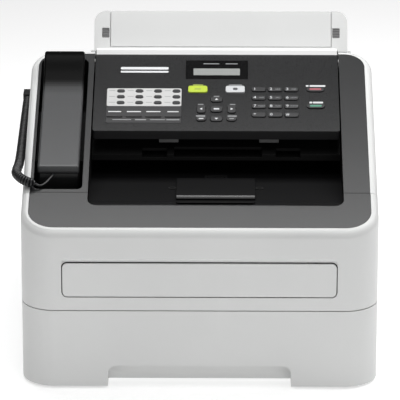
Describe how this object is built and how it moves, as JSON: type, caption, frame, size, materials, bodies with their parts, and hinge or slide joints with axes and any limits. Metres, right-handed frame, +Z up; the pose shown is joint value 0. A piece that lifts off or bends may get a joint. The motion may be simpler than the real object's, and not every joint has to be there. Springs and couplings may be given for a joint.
{
  "type": "fax machine",
  "caption": "Desktop laser fax machine with a corded handset, sloped control panel, front paper tray, output recess and rear document support.",
  "frame": {"origin": "on the table under the middle of the casing's box, cord left out", "axes": "+Z up, +Y towards the back, +X to the right as one faces the front"},
  "size_m": [0.3823, 0.3615, 0.305],
  "materials": {
    "white_casing": "fine moulded texture, light warm grey-white ABS",
    "dark_casing": "fine moulded texture, charcoal ABS, satin",
    "black_plastic": "black ABS, satin",
    "grey_plastic": "dark grey ABS",
    "handset_plastic": "charcoal ABS, satin, fine texture",
    "display_window": "clear window over a grey-green display, dark printed border",
    "key_plastic": "dark keycaps with pale digits",
    "green_key": "yellow-green translucent keycap",
    "light_key": "light grey translucent keycap",
    "key_rubber": "silicone mat with oval keys and a printed card",
    "sheet_steel": "zinc-plated sheet steel",
    "cord_jacket": "black PVC",
    "black_rubber": "matt black rubber"
  },
  "bodies": {
    "base": {"base_frame": "black_plastic", "left_side_cover": "white_casing", "right_side_cover": "white_casing", "rear_cover": "white_casing", "top_cover": "dark_casing", "upper_housing": "black_plastic", "drum_unit": "black_plastic", "toner_cartridge": "grey_plastic", "fuser_unit": "black_plastic", "foot_front_left": "black_rubber", "foot_front_right": "black_rubber", "foot_rear_left": "black_rubber", "foot_rear_right": "black_rubber", "cord_plug": "black_plastic", "cord_curl": "cord_jacket", "cord_lead": "cord_jacket"},
    "front_cover": {"front_cover": "white_casing", "front_trim": "dark_casing"},
    "manual_feed_door": {"manual_feed_door": "white_casing"},
    "paper_tray": {"paper_tray": "white_casing"},
    "pressure_plate": {"pressure_plate": "sheet_steel"},
    "paper_guide_left": {"paper_guide_left": "black_plastic"},
    "paper_guide_right": {"paper_guide_right": "black_plastic"},
    "output_flap": {"output_flap": "black_plastic"},
    "control_panel": {"control_panel": "dark_casing", "lcd_window": "display_window", "one_touch_keymat": "key_rubber"},
    "document_support": {"document_support": "white_casing"},
    "support_extension": {"support_extension": "white_casing"},
    "handset": {"handset_shell": "handset_plastic", "handset_inner": "black_plastic"},
    "hook_switch": {"hook_switch": "black_plastic"},
    "pickup_roller": {"pickup_roller": "black_rubber"},
    "exit_roller": {"exit_roller": "black_rubber"},
    "document_roller": {"document_roller": "black_rubber"},
    "rear_door": {"rear_door": "white_casing"},
    "power_switch": {"power_switch": "black_plastic"},
    "key_1": {"key_1": "key_plastic"},
    "key_2": {"key_2": "key_plastic"},
    "key_3": {"key_3": "key_plastic"},
    "key_4": {"key_4": "key_plastic"},
    "key_5": {"key_5": "key_plastic"},
    "key_6": {"key_6": "key_plastic"},
    "key_7": {"key_7": "key_plastic"},
    "key_8": {"key_8": "key_plastic"},
    "key_9": {"key_9": "key_plastic"},
    "key_star": {"key_star": "key_plastic"},
    "key_0": {"key_0": "key_plastic"},
    "key_hash": {"key_hash": "key_plastic"},
    "key_stop": {"key_stop": "key_plastic"},
    "key_start": {"key_start": "key_plastic"},
    "key_fax": {"key_fax": "green_key"},
    "key_copy": {"key_copy": "light_key"},
    "key_up": {"key_up": "key_plastic"},
    "key_down": {"key_down": "key_plastic"},
    "key_left": {"key_left": "key_plastic"},
    "key_right": {"key_right": "key_plastic"},
    "key_ok": {"key_ok": "key_plastic"},
    "key_clear": {"key_clear": "key_plastic"},
    "key_menu": {"key_menu": "key_plastic"}
  },
  "joints": [
    {"name": "front_cover_hinge", "type": "hinge", "parent": "base", "child": "front_cover", "pos_m": [0, -0.1789, 0.0882], "axis": [1, 0, 0], "range_deg": [0, 90]},
    {"name": "manual_feed_door_hinge", "type": "hinge", "parent": "front_cover", "child": "manual_feed_door", "pos_m": [0, -0.18, 0.1024], "axis": [-1, 0, 0], "range_deg": [-90, 0]},
    {"name": "paper_tray_slide", "type": "slide", "parent": "base", "child": "paper_tray", "axis": [0, -1, 0], "range_m": [0, 0.28]},
    {"name": "pressure_plate_hinge", "type": "hinge", "parent": "paper_tray", "child": "pressure_plate", "pos_m": [0, 0.055, 0.0136], "axis": [-1, 0, 0], "range_deg": [0, 8]},
    {"name": "paper_guide_right_slide", "type": "slide", "parent": "paper_tray", "child": "paper_guide_right", "axis": [1, 0, 0], "range_m": [-0.05, 0]},
    {"name": "paper_guide_left_slide", "type": "slide", "parent": "paper_tray", "child": "paper_guide_left", "axis": [-1, 0, 0], "range_m": [-0.05, 0]},
    {"name": "output_flap_hinge", "type": "hinge", "parent": "base", "child": "output_flap", "pos_m": [0.01625, -0.107, 0.1843], "axis": [1, 0, 0], "range_deg": [0, 145]},
    {"name": "control_panel_hinge", "type": "hinge", "parent": "base", "child": "control_panel", "pos_m": [0.01625, 0.124, 0.266], "axis": [-1, 0, 0], "range_deg": [0, 70]},
    {"name": "document_support_hinge", "type": "hinge", "parent": "base", "child": "document_support", "pos_m": [0.0206, 0.138, 0.27], "axis": [-1, 0, 0], "range_deg": [-95, 0]},
    {"name": "support_extension_slide", "type": "slide", "parent": "document_support", "child": "support_extension", "axis": [0, 0.5402, 0.8415], "range_m": [0, 0.024]},
    {"name": "handset_lift", "type": "slide", "parent": "base", "child": "handset", "axis": [0, 0, 1], "range_m": [0, 0.06]},
    {"name": "hook_switch_press", "type": "slide", "parent": "base", "child": "hook_switch", "axis": [0, 0, 1], "range_m": [-0.003, 0], "stiffness_N_per_m": 150},
    {"name": "pickup_roller_spin", "type": "hinge", "parent": "base", "child": "pickup_roller", "pos_m": [0, -0.122, 0.072], "axis": [1, 0, 0], "continuous": true},
    {"name": "exit_roller_spin", "type": "hinge", "parent": "base", "child": "exit_roller", "pos_m": [0.01625, 0.086, 0.16698], "axis": [1, 0, 0], "continuous": true},
    {"name": "document_roller_spin", "type": "hinge", "parent": "base", "child": "document_roller", "pos_m": [0.01625, 0.062, 0.22729], "axis": [1, 0, 0], "continuous": true},
    {"name": "rear_door_hinge", "type": "hinge", "parent": "base", "child": "rear_door", "pos_m": [0, 0.1788, 0.0732], "axis": [-1, 0, 0], "range_deg": [0, 80]},
    {"name": "power_switch_rock", "type": "hinge", "parent": "base", "child": "power_switch", "pos_m": [0.1825, 0.11, 0.04], "axis": [0, 0, -1], "range_deg": [0, 7]},
    {"name": "key_1_press", "type": "slide", "parent": "control_panel", "child": "key_1", "axis": [0, -0.3013, 0.9535], "range_m": [-0.0012, 0], "stiffness_N_per_m": 400},
    {"name": "key_2_press", "type": "slide", "parent": "control_panel", "child": "key_2", "axis": [0, -0.3013, 0.9535], "range_m": [-0.0012, 0], "stiffness_N_per_m": 400},
    {"name": "key_3_press", "type": "slide", "parent": "control_panel", "child": "key_3", "axis": [0, -0.3013, 0.9535], "range_m": [-0.0012, 0], "stiffness_N_per_m": 400},
    {"name": "key_4_press", "type": "slide", "parent": "control_panel", "child": "key_4", "axis": [0, -0.3013, 0.9535], "range_m": [-0.0012, 0], "stiffness_N_per_m": 400},
    {"name": "key_5_press", "type": "slide", "parent": "control_panel", "child": "key_5", "axis": [0, -0.3013, 0.9535], "range_m": [-0.0012, 0], "stiffness_N_per_m": 400},
    {"name": "key_6_press", "type": "slide", "parent": "control_panel", "child": "key_6", "axis": [0, -0.3013, 0.9535], "range_m": [-0.0012, 0], "stiffness_N_per_m": 400},
    {"name": "key_7_press", "type": "slide", "parent": "control_panel", "child": "key_7", "axis": [0, -0.3013, 0.9535], "range_m": [-0.0012, 0], "stiffness_N_per_m": 400},
    {"name": "key_8_press", "type": "slide", "parent": "control_panel", "child": "key_8", "axis": [0, -0.3013, 0.9535], "range_m": [-0.0012, 0], "stiffness_N_per_m": 400},
    {"name": "key_9_press", "type": "slide", "parent": "control_panel", "child": "key_9", "axis": [0, -0.3013, 0.9535], "range_m": [-0.0012, 0], "stiffness_N_per_m": 400},
    {"name": "key_star_press", "type": "slide", "parent": "control_panel", "child": "key_star", "axis": [0, -0.3013, 0.9535], "range_m": [-0.0012, 0], "stiffness_N_per_m": 400},
    {"name": "key_0_press", "type": "slide", "parent": "control_panel", "child": "key_0", "axis": [0, -0.3013, 0.9535], "range_m": [-0.0012, 0], "stiffness_N_per_m": 400},
    {"name": "key_hash_press", "type": "slide", "parent": "control_panel", "child": "key_hash", "axis": [0, -0.3013, 0.9535], "range_m": [-0.0012, 0], "stiffness_N_per_m": 400},
    {"name": "key_stop_press", "type": "slide", "parent": "control_panel", "child": "key_stop", "axis": [0, -0.3013, 0.9535], "range_m": [-0.0012, 0], "stiffness_N_per_m": 400},
    {"name": "key_start_press", "type": "slide", "parent": "control_panel", "child": "key_start", "axis": [0, -0.3013, 0.9535], "range_m": [-0.0012, 0], "stiffness_N_per_m": 400},
    {"name": "key_fax_press", "type": "slide", "parent": "control_panel", "child": "key_fax", "axis": [0, -0.3013, 0.9535], "range_m": [-0.0012, 0], "stiffness_N_per_m": 400},
    {"name": "key_copy_press", "type": "slide", "parent": "control_panel", "child": "key_copy", "axis": [0, -0.3013, 0.9535], "range_m": [-0.0012, 0], "stiffness_N_per_m": 400},
    {"name": "key_up_press", "type": "slide", "parent": "control_panel", "child": "key_up", "axis": [0, -0.3013, 0.9535], "range_m": [-0.0012, 0], "stiffness_N_per_m": 400},
    {"name": "key_down_press", "type": "slide", "parent": "control_panel", "child": "key_down", "axis": [0, -0.3013, 0.9535], "range_m": [-0.0012, 0], "stiffness_N_per_m": 400},
    {"name": "key_left_press", "type": "slide", "parent": "control_panel", "child": "key_left", "axis": [0, -0.3013, 0.9535], "range_m": [-0.0012, 0], "stiffness_N_per_m": 400},
    {"name": "key_right_press", "type": "slide", "parent": "control_panel", "child": "key_right", "axis": [0, -0.3013, 0.9535], "range_m": [-0.0012, 0], "stiffness_N_per_m": 400},
    {"name": "key_ok_press", "type": "slide", "parent": "control_panel", "child": "key_ok", "axis": [0, -0.3013, 0.9535], "range_m": [-0.0012, 0], "stiffness_N_per_m": 400},
    {"name": "key_clear_press", "type": "slide", "parent": "control_panel", "child": "key_clear", "axis": [0, -0.3013, 0.9535], "range_m": [-0.0012, 0], "stiffness_N_per_m": 400},
    {"name": "key_menu_press", "type": "slide", "parent": "control_panel", "child": "key_menu", "axis": [0, -0.3013, 0.9535], "range_m": [-0.0012, 0], "stiffness_N_per_m": 400}
  ],
  "couplings": [
    {"joint": "paper_guide_left_slide", "follows": "paper_guide_right_slide", "ratio": 1}
  ]
}
